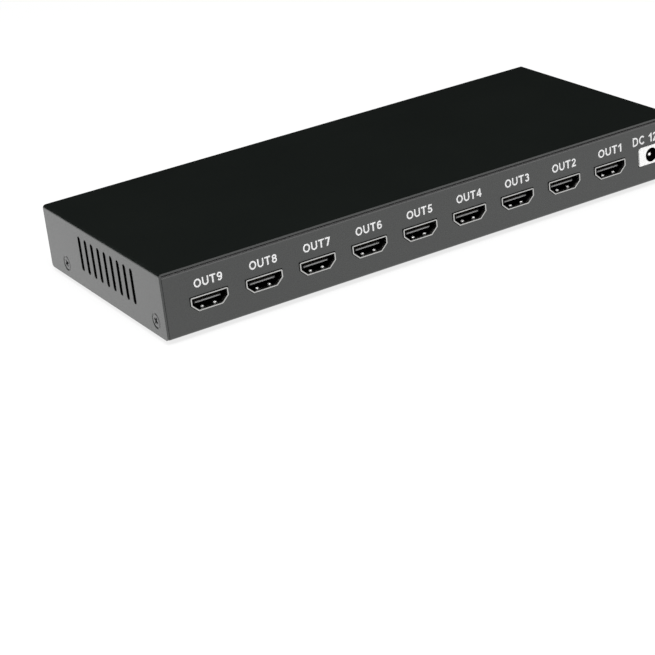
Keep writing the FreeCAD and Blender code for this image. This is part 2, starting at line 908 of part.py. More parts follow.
def make_power_jack():
    """Housing, centre pin and spring leaf of the power inlet."""
    level = jack_hole_height
    hole_end = -jack_reach + jack_hole_depth
    leaf_start = hole_end - jack_leaf_length
    leaf_low = level - jack_hole_radius - jack_leaf_thickness
    half = jack_leaf_width / 2
    hole = rod(jack_hole_radius, vector(0, -jack_reach, level), vector(0, hole_end, level))
    root = jack_pin_root_width / 2
    tail = jack_body_depth + jack_pin_tail
    play = insulator_clearance
    seat = block(-root - play, root + play, hole_end, jack_body_depth, level - root - play,
                 level + root + play)
    channel = block(-half - play, half + play, leaf_start, hole_end, leaf_low, level)
    housing = cut_all(jack_prism(0, -jack_reach, jack_reach + jack_body_depth), [hole, seat, channel])
    pin = rod(jack_pin_radius, vector(0, -jack_reach + jack_pin_recess, level), vector(0, hole_end, level))
    bar = block(-root, root, hole_end, tail, level - root, level + root)
    lug = block(-root, root, jack_body_depth, tail, 0, level)
    leaf = block(-half, half, leaf_start, hole_end, leaf_low, leaf_low + jack_leaf_thickness)
    return housing, fuse_all([pin, bar, lug]), leaf


# Receiver and lights

def receiver_leads(play):
    """Three leads that stand in the board, measured from the panel."""
    depth = receiver_body_start() + receiver_body_depth / 2
    half = receiver_lead_width / 2 + play
    return [block(x - half, x + half, depth - half, depth + half, board_bottom - solder_reach, board_top)
            for x in (-receiver_lead_pitch, 0, receiver_lead_pitch)]


def receiver_body_start():
    """Inward distance of the receiver's body, behind its lens."""
    return sheet + receiver_lens_gap + receiver_lens_radius


def make_receiver():
    """The remote-control receiver: a block with a rounded lens towards its window."""
    start = receiver_body_start()
    half = receiver_width / 2
    top = board_top + receiver_body_height
    body = block(-half, half, start, start + receiver_body_depth, board_top, top)
    lens = rod(receiver_lens_radius, vector(0, start, board_top), vector(0, start, top))
    return fuse_all([body, lens] + receiver_leads(0))


def make_status_light():
    """A side-facing light behind its hole, set in a notch of the board, with wings on the board."""
    end = sheet + board_panel_gap + light_body_depth - light_notch_gap
    half = light_body_width / 2
    body = block(-half, half, sheet + sheet_gap, end, -half, half)
    wing_low = board_top - underside - light_height
    wings = block(-half - light_wing_reach, half + light_wing_reach, sheet + board_panel_gap, end,
                  wing_low, wing_low + light_wing_thickness)
    return body.fuse(wings)


# Parts on the board

def chip(x, y, size_x, size_y, thickness):
    """A chip package with bevelled top edges, standing on the board."""
    package = block(x - size_x / 2, x + size_x / 2, y - size_y / 2, y + size_y / 2,
                    board_top, board_top + thickness)
    top = [e for e in package.Edges if abs(e.CenterOfMass.z - board_top - thickness) < 0.001]
    return package.makeChamfer(chip_edge, top)


def make_heat_sink():
    """A base with straight fins, on the processor."""
    x, y = processor_place
    half = heat_sink_size / 2
    base = board_top + processor_thickness
    sink = block(x - half, x + half, y + middle_y - half, y + middle_y + half, base, base + heat_sink_height)
    gap = (heat_sink_size - fin_count * fin_thickness) / (fin_count - 1)
    channels = []
    for index in range(fin_count - 1):
        start = x - half + fin_thickness + index * (fin_thickness + gap)
        channels.append(block(start, start + gap, y + middle_y - half, y + middle_y + half,
                              base + heat_sink_base, base + heat_sink_height))
    return cut_all(sink, channels)


def make_capacitor(x, y):
    """A can capacitor on a square foot."""
    half = capacitor_base / 2
    low = board_top + capacitor_base_height
    foot = block(x - half, x + half, y - half, y + half, board_top, low)
    return foot.fuse(rod(capacitor_radius, vector(x, y, low), vector(x, y, low + capacitor_height)))


def make_board_parts():
    """The working parts on the board."""
    parts = {}
    x, y = processor_place
    parts["processor"] = chip(x, y + middle_y, processor_size, processor_size, processor_thickness)
    parts["heat_sink"] = make_heat_sink()
    parts["memory_chips"] = Part.makeCompound(
        [chip(x, y + middle_y, *memory_size) for x, y in memory_places])
    parts["output_drivers"] = Part.makeCompound(
        [chip(place - half_width, output_face + transmitter_set_back, *transmitter_size)
         for place in output_places()])
    parts["input_decoders"] = Part.makeCompound(
        [chip(half_width - inset, y + middle_y, *decoder_size) for inset, y in decoder_insets])
    x, y = controller_place
    parts["control_chip"] = chip(x, y + middle_y, *controller_size)
    parts["inductors"] = Part.makeCompound(
        [chip(half_width - inset, y + middle_y, inductor_size, inductor_size, inductor_height)
         for inset, y in inductor_insets])
    parts["capacitors"] = Part.makeCompound(
        [make_capacitor(half_width - inset, y + middle_y) for inset, y in capacitor_insets])
    return parts


# Everything together

def make_video_nodes():
    """The shell and insulator of each video socket."""
    nodes = {}
    shell = make_video_shell()
    insulator = make_video_insulator()
    for index, (settle, place, reach) in enumerate(video_sockets()):
        name = "output_%d" % (output_count - index) if index < output_count else "video_input"
        for piece, shape in (("shell", shell), ("insulator", insulator)):
            moved = shape.copy()
            moved.translate(vector(0, -reach, 0))
            nodes[name + "_" + piece] = settle(moved, place, video_center)
    return nodes


def make_nodes():
    """Every piece by the name of its node."""
    nodes = {
        "top_cover": make_top_cover(),
        "chassis_tray": make_chassis_tray(),
        "cover_screws": make_cover_screws(),
        "main_board": make_main_board(),
        "board_standoffs": make_board_standoffs(),
        "board_nuts": make_board_nuts(),
        "feet": make_feet(),
        "jackscrews": make_jackscrews(),
    }
    nodes.update(make_video_nodes())
    for prefix, pieces, place, height in (
            ("dual_link", make_dual_socket(), dual_place, dual_height),
            ("serial", make_serial_socket(), serial_place, serial_height)):
        for name, shape in zip(("shell", "insulator"), pieces):
            nodes[prefix + "_" + name] = on_input_panel(shape, place, underside + height)
    nodes["optical_body"] = on_input_panel(make_optical_body(), optical_place, underside)
    nodes["optical_shutter"] = on_input_panel(make_optical_shutter(), optical_place, underside)
    nodes["optical_emitter"] = on_input_panel(make_optical_emitter(), optical_place, underside)
    for name, shape in zip(("power_jack", "power_pin", "power_leaf"), make_power_jack()):
        nodes[name] = on_output_panel(shape, jack_place, board_top)
    nodes["remote_receiver"] = on_input_panel(make_receiver(), receiver_place, 0)
    for number, place in enumerate(light_places, 1):
        nodes["status_light_%d" % number] = on_input_panel(make_status_light(), place,
                                                           underside + light_height)
    nodes.update(make_board_parts())
    return nodes


os.makedirs("parts", exist_ok=True)
for node_name, node_shape in make_nodes().items():
    node_shape.exportStep("parts/" + node_name + ".step")
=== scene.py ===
import json
import math
import bmesh
import bpy
from mathutils import Matrix, Vector


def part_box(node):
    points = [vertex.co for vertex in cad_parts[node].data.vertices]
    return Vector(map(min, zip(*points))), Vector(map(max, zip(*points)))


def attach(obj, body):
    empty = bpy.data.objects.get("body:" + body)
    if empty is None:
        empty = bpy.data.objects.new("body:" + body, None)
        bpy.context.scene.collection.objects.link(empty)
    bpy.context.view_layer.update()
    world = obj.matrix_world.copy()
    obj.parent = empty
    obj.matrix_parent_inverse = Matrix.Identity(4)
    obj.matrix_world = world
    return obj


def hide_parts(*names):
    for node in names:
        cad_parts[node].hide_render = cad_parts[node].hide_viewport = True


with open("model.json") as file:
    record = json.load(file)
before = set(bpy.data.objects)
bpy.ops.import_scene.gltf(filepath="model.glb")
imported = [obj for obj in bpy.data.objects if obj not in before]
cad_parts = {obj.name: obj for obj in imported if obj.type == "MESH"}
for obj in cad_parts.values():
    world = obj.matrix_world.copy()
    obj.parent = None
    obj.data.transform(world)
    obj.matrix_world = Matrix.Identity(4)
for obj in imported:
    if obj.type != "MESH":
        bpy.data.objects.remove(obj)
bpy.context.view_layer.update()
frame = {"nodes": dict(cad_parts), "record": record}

# Looks of the video wall controller: its materials, labels, contacts, screws and
# small parts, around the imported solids. Lengths are in metres, and places on a
# panel are measured from its left end as seen from outside and from the underside
# of the housing.

MM = 0.001

# Camera of the photograph
CAMERA_PLACE = (-0.36677, -0.63132, 0.27472)
CAMERA_AZIMUTH = 28.443
CAMERA_ELEVATION = 23.479
CAMERA_ROLL = -6.680
CAMERA_LENS = 109.55
CAMERA_SENSOR = 36.0
CAMERA_SHIFT = (0.0103, -0.0013)

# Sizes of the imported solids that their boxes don't give
SHEET = 0.8 * MM
OUTPUT_COUNT = 9
VIDEO_SHELL_HEIGHT = 5.55 * MM
TONGUE_THICKNESS = 1.1 * MM
FINGER_SPACING = 5.0 * MM
VENT_COUNT = 9
VENT_PITCH = 5.45 * MM
VENT_WIDTH = 2.3 * MM
VENT_LENGTH = 13.6 * MM
VENT_HEIGHT = 13.9 * MM
VENT_SHIFT = 4.0 * MM
SCREW_RADIUS = 1.5 * MM
SCREW_HEAD_RADIUS = 2.9 * MM
JACKSCREW_FLATS = 4.75 * MM
JACKSCREW_LENGTH = 5.0 * MM
JACKSCREW_SPANS = (("dual_link_shell", 33.3 * MM), ("serial_shell", 24.99 * MM))
JACK_HOLE_RADIUS = 2.85 * MM
JACK_HOLE_HEIGHT = 3.5 * MM
JACK_HOLE_DEPTH = 9.5 * MM
JACK_PIN_RADIUS = 1.05 * MM

cover_low, cover_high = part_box("top_cover")
cover_middle = (cover_low + cover_high) / 2


# Frames of the two long panels: X from the left end as seen from outside, Y inward, Z up

def panel_frame(output):
    """The matrix from a panel's own frame to the object's."""
    if output:
        return Matrix.Translation((cover_low.x, cover_low.y, cover_low.z))
    turn = Matrix.Rotation(math.pi, 4, "Z")
    return Matrix.Translation((cover_high.x, cover_high.y, cover_low.z)) @ turn


OUTPUT = panel_frame(True)
INPUT = panel_frame(False)


def panel_box(node, panel):
    """Lowest and highest corner of a node in a panel's frame."""
    inverse = panel.inverted()
    a, b = (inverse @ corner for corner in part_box(node))
    return Vector(map(min, a, b)), Vector(map(max, a, b))


# Materials

MIX_SHARE, MIX_LOW, MIX_HIGH = 0, 6, 7      # inputs of a mix node for colours
MIX_RESULT = 2
NOISE_LOW, NOISE_HIGH = 0.3, 0.7            # where most of a noise's values lie

PAINT_PATCH = 35.0 * MM
PAINT_PEEL = 1.1 * MM
PAINT_GRAIN = 0.22 * MM
PAINT_RELIEF = 0.010 * MM
METAL_PATCH = 4.0 * MM
METAL_STREAK = 0.6 * MM
METAL_RELIEF = 0.004 * MM
PLASTIC_PATCH = 4.8 * MM
PLASTIC_GRAIN = 0.18 * MM
PLASTIC_RELIEF = 0.008 * MM
BOARD_PATCH = 2.0 * MM
BOARD_RELIEF = 0.012 * MM

EVEN = (1.0, 1.0, 1.0)
STREAKS_ALONG_Y = (1.0, 0.12, 1.0)

FINE_EDGE = 0.10 * MM
SHEET_EDGE = 0.12 * MM
SOFT_EDGE = 0.20 * MM

# Painted highlight: a paler band of the tray's paint along the top bend of its panels, standing in
# for the reflection on the bend
BEND_HIGHLIGHT_PAINT = (0.056, 0.056, 0.056)
BEND_HIGHLIGHT_HALF = 0.62 * MM
BEND_HIGHLIGHT_DROP = 1.50 * MM

# Painted shade in the video sockets: the plating darkens to this colour between these two depths
# behind the mouth
SHELL_PAINTED_SHADE = (0.03, 0.03, 0.03)
SHELL_SHADE_START = 0.5 * MM
SHELL_SHADE_FULL = 1.6 * MM


class Nodes:
    """A node tree that is emptied, then filled one node at a time."""

    def __init__(self, tree):
        self.tree = tree
        self.tree.nodes.clear()

    def add(self, kind, **settings):
        node = self.tree.nodes.new(kind)
        for key, value in settings.items():
            setattr(node, key, value)
        return node

    def link(self, start, end):
        self.tree.links.new(start, end)

    def feed(self, value, socket):
        """Gives a socket a number, a colour or another node's output."""
        if isinstance(value, bpy.types.NodeSocket):
            self.link(value, socket)
        elif isinstance(value, tuple):
            socket.default_value = (*value, 1.0)
        else:
            socket.default_value = value

    def maths(self, operation, *values):
        """The result of an operation on numbers or other nodes' outputs."""
        node = self.add("ShaderNodeMath", operation=operation)
        for value, socket in zip(values, node.inputs):
            self.feed(value, socket)
        return node.outputs[0]


class Shader(Nodes):
    """A material with one glossy surface."""

    def __init__(self, name):
        self.material = bpy.data.materials.new(name)
        self.material.use_nodes = True
        super().__init__(self.material.node_tree)
        self.surface = self.add("ShaderNodeBsdfPrincipled")
        output = self.add("ShaderNodeOutputMaterial")
        self.link(self.surface.outputs[0], output.inputs["Surface"])
        self.place = self.add("ShaderNodeTexCoord").outputs["Object"]

    def noise(self, size, detail=3.0, roughness=0.55, stretch=EVEN):
        """Noise with features of about a given size, stretched along an axis if asked."""
        mapping = self.add("ShaderNodeMapping")
        mapping.inputs["Scale"].default_value = stretch
        self.link(self.place, mapping.inputs["Vector"])
        node = self.add("ShaderNodeTexNoise")
        node.inputs["Scale"].default_value = 1.0 / size
        node.inputs["Detail"].default_value = detail
        node.inputs["Roughness"].default_value = roughness
        self.link(mapping.outputs["Vector"], node.inputs["Vector"])
        return node.outputs["Fac"]

    def spread(self, value, start, end, low=0.0, high=1.0):
        """The part of a value between two ends, spread over a range."""
        node = self.add("ShaderNodeMapRange")
        for name, number in (("From Min", start), ("From Max", end),
                             ("To Min", low), ("To Max", high)):
            node.inputs[name].default_value = number
        self.link(value, node.inputs["Value"])
        return node.outputs["Result"]

    def mixed(self, share, low, high):
        """A colour between two, each a colour or another node's output."""
        node = self.add("ShaderNodeMix", data_type="RGBA")
        for value, index in ((share, MIX_SHARE), (low, MIX_LOW), (high, MIX_HIGH)):
            self.feed(value, node.inputs[index])
        return node.outputs[MIX_RESULT]

    def away(self, axis, level):
        """The distance from a level on one axis of the object."""
        split = self.add("ShaderNodeSeparateXYZ")
        self.link(self.place, split.inputs[0])
        return self.maths("ABSOLUTE", self.maths("SUBTRACT", split.outputs[axis], level))

    def band(self, level, half):
        """One in a level band of the object, falling to nothing at its edges."""
        return self.spread(self.away("Z", level), half, half * 0.5)

    def colour(self, value):
        self.link(value, self.surface.inputs["Base Color"])

    def finish(self, value, low, high):
        """Roughness from a noise."""
        rough = self.spread(value, NOISE_LOW, NOISE_HIGH, low, high)
        self.link(rough, self.surface.inputs["Roughness"])

    def bumped(self, value, depth, strength, edge):
        """Relief from a value, over edges rounded by a radius."""
        bump = self.add("ShaderNodeBump")
        bump.inputs["Strength"].default_value = strength
        bump.inputs["Distance"].default_value = depth
        self.link(value, bump.inputs["Height"])
        if edge:
            bevel = self.add("ShaderNodeBevel", samples=6)
            bevel.inputs["Radius"].default_value = edge
            self.link(bevel.outputs["Normal"], bump.inputs["Normal"])
        self.link(bump.outputs["Normal"], self.surface.inputs["Normal"])

    def fix(self, **values):
        for key, value in values.items():
            self.surface.inputs[key.replace("_", " ")].default_value = value


def powder_coat(name, low, high, edge, highlight_level=None):
    """Satin black paint with a faint orange peel and a fine grain, and a painted highlight band
    along one level.
    """
    shader = Shader(name)
    peel = shader.noise(PAINT_PEEL, 2.0)
    grain = shader.noise(PAINT_GRAIN, 2.0)
    paint = shader.mixed(shader.noise(PAINT_PATCH, 2.0), low, high)
    # A paler band at one level: a highlight painted into the colour
    if highlight_level is not None:
        paint = shader.mixed(shader.band(highlight_level, BEND_HIGHLIGHT_HALF), paint, BEND_HIGHLIGHT_PAINT)
    shader.colour(paint)
    shader.finish(grain, 0.27, 0.40)
    shader.bumped(shader.maths("ADD", peel, grain), PAINT_RELIEF, 0.6, edge)
    shader.fix(IOR=1.62)
    return shader.material


def plated(shader, colour, rough_low, rough_high, streak, edge):
    """Finishes a shader as metal of one colour with faint streaks."""
    streaks = shader.noise(METAL_STREAK, 3.0, 0.6, streak)
    shader.colour(colour)
    shader.finish(streaks, rough_low, rough_high)
    shader.bumped(streaks, METAL_RELIEF, 0.5, edge)
    shader.fix(Metallic=1.0)
    return shader.material


def metal(name, low, high, rough_low, rough_high, streak=EVEN, edge=0.0):
    """Plated or drawn metal."""
    shader = Shader(name)
    colour = shader.mixed(shader.noise(METAL_PATCH, 2.0), low, high)
    return plated(shader, colour, rough_low, rough_high, streak, edge)


def video_shell_metal(name):
    """Plating at a socket's mouth that darkens into painted shade in its depth."""
    shader = Shader(name)
    patches = shader.noise(METAL_PATCH, 2.0)
    bright = shader.mixed(patches, (0.31, 0.31, 0.305), (0.40, 0.40, 0.39))
    face = cover_high.y - cover_middle.y
    mouth = shader.spread(shader.away("Y", cover_middle.y),
                          face - SHELL_SHADE_FULL, face - SHELL_SHADE_START)
    colour = shader.mixed(mouth, SHELL_PAINTED_SHADE, bright)
    return plated(shader, colour, 0.24, 0.40, STREAKS_ALONG_Y, SHEET_EDGE)


def plastic(name, low, high, rough_low, rough_high, edge=0.0, **fixed):
    """Moulded plastic with a fine spark texture."""
    shader = Shader(name)
    grain = shader.noise(PLASTIC_GRAIN)
    shader.colour(shader.mixed(shader.noise(PLASTIC_PATCH, 2.0), low, high))
    shader.finish(grain, rough_low, rough_high)
    shader.bumped(grain, PLASTIC_RELIEF, 0.5, edge)
    shader.fix(**fixed)
    return shader.material


def circuit_board(name):
    """Green solder mask over copper traces."""
    shader = Shader(name)
    traces = shader.add("ShaderNodeTexBrick", offset=0.5, offset_frequency=2)
    for key, value in (("Scale", 160.0), ("Mortar Size", 0.012),
                       ("Brick Width", 1.7), ("Row Height", 0.12),
                       ("Color1", (0.006, 0.075, 0.028)), ("Color2", (0.008, 0.095, 0.035)),
                       ("Mortar", (0.004, 0.045, 0.018)), ("Vector", shader.place)):
        shader.feed(value, traces.inputs[key])
    shader.colour(traces.outputs["Color"])
    shader.finish(shader.noise(BOARD_PATCH), 0.25, 0.42)
    shader.bumped(traces.outputs["Fac"], BOARD_RELIEF, 0.5, FINE_EDGE)
    shader.fix(IOR=1.5)
    return shader.material


PAINT_TONES = (0.0040, 0.0056, 0.0048), (0.0060, 0.0080, 0.0068)
TRAY_PAINT_BEND_HIGHLIGHT = powder_coat("tray_paint_bend_highlight", *PAINT_TONES, SHEET_EDGE, cover_high.z - BEND_HIGHLIGHT_DROP)
BLACK_PAINT = powder_coat("black_paint", *PAINT_TONES, SHEET_EDGE)
SCREW_BLACK = powder_coat("screw_black", (0.020, 0.020, 0.021), (0.032, 0.032, 0.033), FINE_EDGE)
FOOT_RUBBER = plastic("foot_rubber", (0.012, 0.012, 0.013), (0.02, 0.02, 0.021), 0.7, 0.95,
                      SOFT_EDGE)
PLATED_SHELL = video_shell_metal("plated_shell")
PLATED_FLANGE = metal("plated_flange", (0.52, 0.49, 0.45), (0.62, 0.59, 0.54), 0.34, 0.50,
                      STREAKS_ALONG_Y, SHEET_EDGE)
BLACK_INSULATOR = plastic("black_insulator", (0.008, 0.008, 0.009), (0.013, 0.013, 0.014),
                          0.42, 0.58, FINE_EDGE)
# Painted highlight: pale grey for the lit front edge of the sockets' tongues
TONGUE_EDGE_HIGHLIGHT = plastic("tongue_edge_highlight", (0.26, 0.26, 0.26), (0.34, 0.34, 0.335), 0.35, 0.5)
# A darkened copy of the contacts' gold: painted shade for the contacts deep in the sockets
CONTACT_SHADED_GOLD = metal("contact_shaded_gold", (0.16, 0.13, 0.075), (0.22, 0.18, 0.10), 0.3, 0.45)
# Painted highlight: near-white for the crests of the spring fingers, which are plated like the
# shells
FINGER_CREST_HIGHLIGHT = plastic("finger_crest_highlight", (0.86, 0.86, 0.85), (0.92, 0.92, 0.91), 0.25, 0.4,
                       Metallic=0.3)
IVORY_INSULATOR = plastic("ivory_insulator", (0.88, 0.86, 0.78), (0.92, 0.90, 0.83),
                          0.35, 0.5, FINE_EDGE)
OLIVE_INSULATOR = plastic("olive_insulator", (0.105, 0.100, 0.075), (0.14, 0.135, 0.10),
                          0.4, 0.55, FINE_EDGE)
NICKEL_SCREW = metal("nickel_screw", (0.47, 0.46, 0.43), (0.59, 0.58, 0.55), 0.28, 0.44,
                     edge=FINE_EDGE)
OPTICAL_BLACK = plastic("optical_black", (0.010, 0.010, 0.011), (0.018, 0.018, 0.019),
                        0.3, 0.45, FINE_EDGE)
SHUTTER_GREY = plastic("shutter_grey", (0.028, 0.028, 0.030), (0.042, 0.042, 0.045),
                       0.35, 0.5, FINE_EDGE)
EMITTER_DARK = plastic("emitter_dark", (0.05, 0.012, 0.012), (0.08, 0.02, 0.02), 0.08, 0.15)
WHITE_JACK = plastic("white_jack", (0.84, 0.84, 0.83), (0.89, 0.89, 0.88), 0.4, 0.55, SOFT_EDGE)
CONTACT_METAL = metal("contact_metal", (0.80, 0.62, 0.30), (0.90, 0.72, 0.38), 0.16, 0.28)
PIN_SILVER = metal("pin_silver", (0.84, 0.83, 0.81), (0.92, 0.91, 0.89), 0.22, 0.34)
# A dark copy of the pin's silver: painted shade for the pin deep in the inlet's bore
PIN_SHADED = metal("pin_shaded", (0.045, 0.044, 0.042), (0.065, 0.063, 0.060), 0.40, 0.55)
RECEIVER_DARK = plastic("receiver_dark", (0.016, 0.010, 0.018), (0.024, 0.015, 0.026),
                        0.06, 0.14, FINE_EDGE)
# Status light lenses, near-black: painted shade for their holes, not the clear lens's own colour
STATUS_LIGHT_SHADE = plastic("light_clear", (0.022, 0.023, 0.022), (0.032, 0.033, 0.032), 0.16, 0.28)
BOARD_GREEN = circuit_board("board_green")
BRASS_STANDOFF = metal("brass_standoff", (0.62, 0.45, 0.20), (0.76, 0.58, 0.28), 0.22, 0.36,
                       edge=FINE_EDGE)
CHIP_BLACK = plastic("chip_black", (0.018, 0.018, 0.019), (0.028, 0.028, 0.029), 0.5, 0.7)
SINK_ALUMINIUM = metal("sink_aluminium", (0.60, 0.61, 0.62), (0.74, 0.75, 0.76), 0.25, 0.42,
                       (1.0, 0.1, 1.0), FINE_EDGE)
COIL_GREY = plastic("coil_grey", (0.06, 0.06, 0.062), (0.09, 0.09, 0.093), 0.55, 0.75, SOFT_EDGE)
CAN_ALUMINIUM = metal("can_aluminium", (0.68, 0.68, 0.67), (0.80, 0.80, 0.79), 0.18, 0.3,
                      (1.0, 1.0, 0.1), FINE_EDGE)
LABEL_WHITE = plastic("label_white", (0.69, 0.69, 0.69), (0.76, 0.76, 0.76), 0.5, 0.65)
# Near-black with no gloss: painted shade for the insides of the slots, the inlet's bore and its
# contact leaf
SHADE_BLACK = plastic("painted_shade_black", (0.0012, 0.0012, 0.0012), (0.002, 0.002, 0.002), 0.7, 0.9,
                      Specular_IOR_Level=0.0)

BY_SLOT = {
    "black_paint": BLACK_PAINT, "screw_black": SCREW_BLACK, "foot_rubber": FOOT_RUBBER,
    "plated_shell": PLATED_SHELL, "black_insulator": BLACK_INSULATOR,
    "ivory_insulator": IVORY_INSULATOR, "olive_insulator": OLIVE_INSULATOR,
    "nickel_screw": NICKEL_SCREW, "optical_black": OPTICAL_BLACK, "shutter_grey": SHUTTER_GREY,
    "emitter_dark": EMITTER_DARK, "white_jack": WHITE_JACK, "contact_metal": CONTACT_METAL,
    "receiver_dark": RECEIVER_DARK, "light_clear": STATUS_LIGHT_SHADE, "board_green": BOARD_GREEN,
    "brass_standoff": BRASS_STANDOFF, "chip_black": CHIP_BLACK, "sink_aluminium": SINK_ALUMINIUM,
    "coil_grey": COIL_GREY, "can_aluminium": CAN_ALUMINIUM,
}
# The inlet's pin and contact leaf take painted-shade materials, for the shade deep in its bore
BY_NODE = {
    "chassis_tray": TRAY_PAINT_BEND_HIGHLIGHT, "dual_link_shell": PLATED_FLANGE, "serial_shell": PLATED_FLANGE,
    "power_pin": PIN_SHADED, "power_leaf": SHADE_BLACK,
}


def dress_nodes():
    """Gives every CAD node its own material, or else that of its slot."""
    for part in frame["record"]["subparts"]:
        mesh = frame["nodes"][part["node"]].data
        mesh.materials.clear()
        mesh.materials.append(BY_NODE.get(part["node"], BY_SLOT[part["material_slot"]]))


# Mesh building

def linked(name, data):
    """A new object in the scene."""
    made = bpy.data.objects.new(name, data)
    bpy.context.scene.collection.objects.link(made)
    return made


def loose(name, builder):
    """An object from a bmesh, not part of the model yet."""
    mesh = bpy.data.meshes.new(name)
    bmesh.ops.recalc_face_normals(builder, faces=builder.faces)
    builder.to_mesh(mesh)
    builder.free()
    return linked(name, mesh)


def piece(name, builder, material, body="housing"):
    """A named piece of the model from a bmesh, riding on a body."""
    made = loose(name, builder)
    made.data.materials.append(material)
    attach(made, body)
    return made


def join(name, objects, material):
    """One piece from several loose objects."""
    builder = bmesh.new()
    for made in objects:
        builder.from_mesh(made.data)
        bpy.data.objects.remove(made)
    return piece(name, builder, material)


def add_rings(builder, rings, closed_ends=True):
    """A tube through rings of points, closed at both ends unless told otherwise."""
    made = [[builder.verts.new(point) for point in ring] for ring in rings]
    count = len(made[0])
    for low, high in zip(made, made[1:]):
        for index in range(count):
            after = (index + 1) % count
            builder.faces.new((low[index], low[after], high[after], high[index]))
    if closed_ends:
        builder.faces.new(made[0])
        builder.faces.new(list(reversed(made[-1])))


def add_prism(builder, points, start, end, matrix):
    """A closed prism: an outline of X and Z points, from one Y to another, in a frame."""
    add_rings(builder, [[matrix @ Vector((x, y, z)) for x, z in points] for y in (start, end)])


def circle(radius, y, matrix, segments, center=(0.0, 0.0)):
    """Points of a circle round the Y axis of a frame."""
    x, z = center
    angles = [2 * math.pi * index / segments for index in range(segments)]
    return [matrix @ Vector((x + radius * math.cos(a), y, z + radius * math.sin(a)))
            for a in angles]


def boolean(target, tool, operation):
    """Applies a boolean with another object and removes that object."""
    modifier = target.modifiers.new("cut", "BOOLEAN")
    modifier.operation = operation
    modifier.solver = "EXACT"
    modifier.object = tool
    bpy.context.view_layer.update()
    graph = bpy.context.evaluated_depsgraph_get()
    mesh = bpy.data.meshes.new_from_object(target.evaluated_get(graph))
    target.modifiers.clear()
    target.data = mesh
    bpy.data.objects.remove(tool)


# Labels: bold capitals and figures, drawn in a box one cap height tall

LABEL_THICKNESS = 0.04 * MM
LABEL_STEP = 0.15
STROKE = 0.175
EDGE = STROKE / 2
LETTER_GAP = 0.16
WORD_GAP = 0.36
SHARPEST_MITRE = 0.4
SAME_POINT = 1e-7

# Left, right, lower and upper edge in millimetres, over an output from its socket's middle
OUTPUT_LABEL = (-5.2, 6.0, 16.2, 19.4)
LABELS = (
    ("label_power", "DC 12V", OUTPUT, 205.6, 220.6, 16.3, 19.8),
    ("label_remote", "IR", INPUT, 11.4, 16.9, 3.3, 6.3),
    ("label_input_1", "INPUT 1", INPUT, 26.0, 39.2, 15.9, 18.3),
    ("label_input_2", "INPUT 2", INPUT, 63.4, 76.6, 19.5, 21.9),
    ("label_serial", "CTRL", INPUT, 98.8, 109.6, 21.0, 23.3),
    ("label_audio", "AUDIO", INPUT, 124.2, 137.6, 3.6, 6.0),
)


def arc(x, y, across, up, start, end, steps=14):
    """Points of an ellipse arc, by degrees."""
    angles = [math.radians(start + (end - start) * i / steps) for i in range(steps + 1)]
    return [(x + across * math.cos(a), y + up * math.sin(a)) for a in angles]


def loop(x, y, across, up):
    """Points of a whole ellipse."""
    return arc(x, y, across, up, 0, 360, 28)[:-1]


def bar(left, right, low, high):
    """A filled rectangle."""
    return "fill", [(left, low), (right, low), (right, high), (left, high)]


def turned(shapes, width):
    """Shapes turned upside down in their box."""
    return [(kind, [(width - x, 1 - y) for x, y in points]) for kind, points in shapes]


SIX = [("ring", loop(0.34, 0.325, 0.245, 0.23)),
       ("line", arc(0.37, 0.47, 0.275, 0.435, 186, 48, 16))]

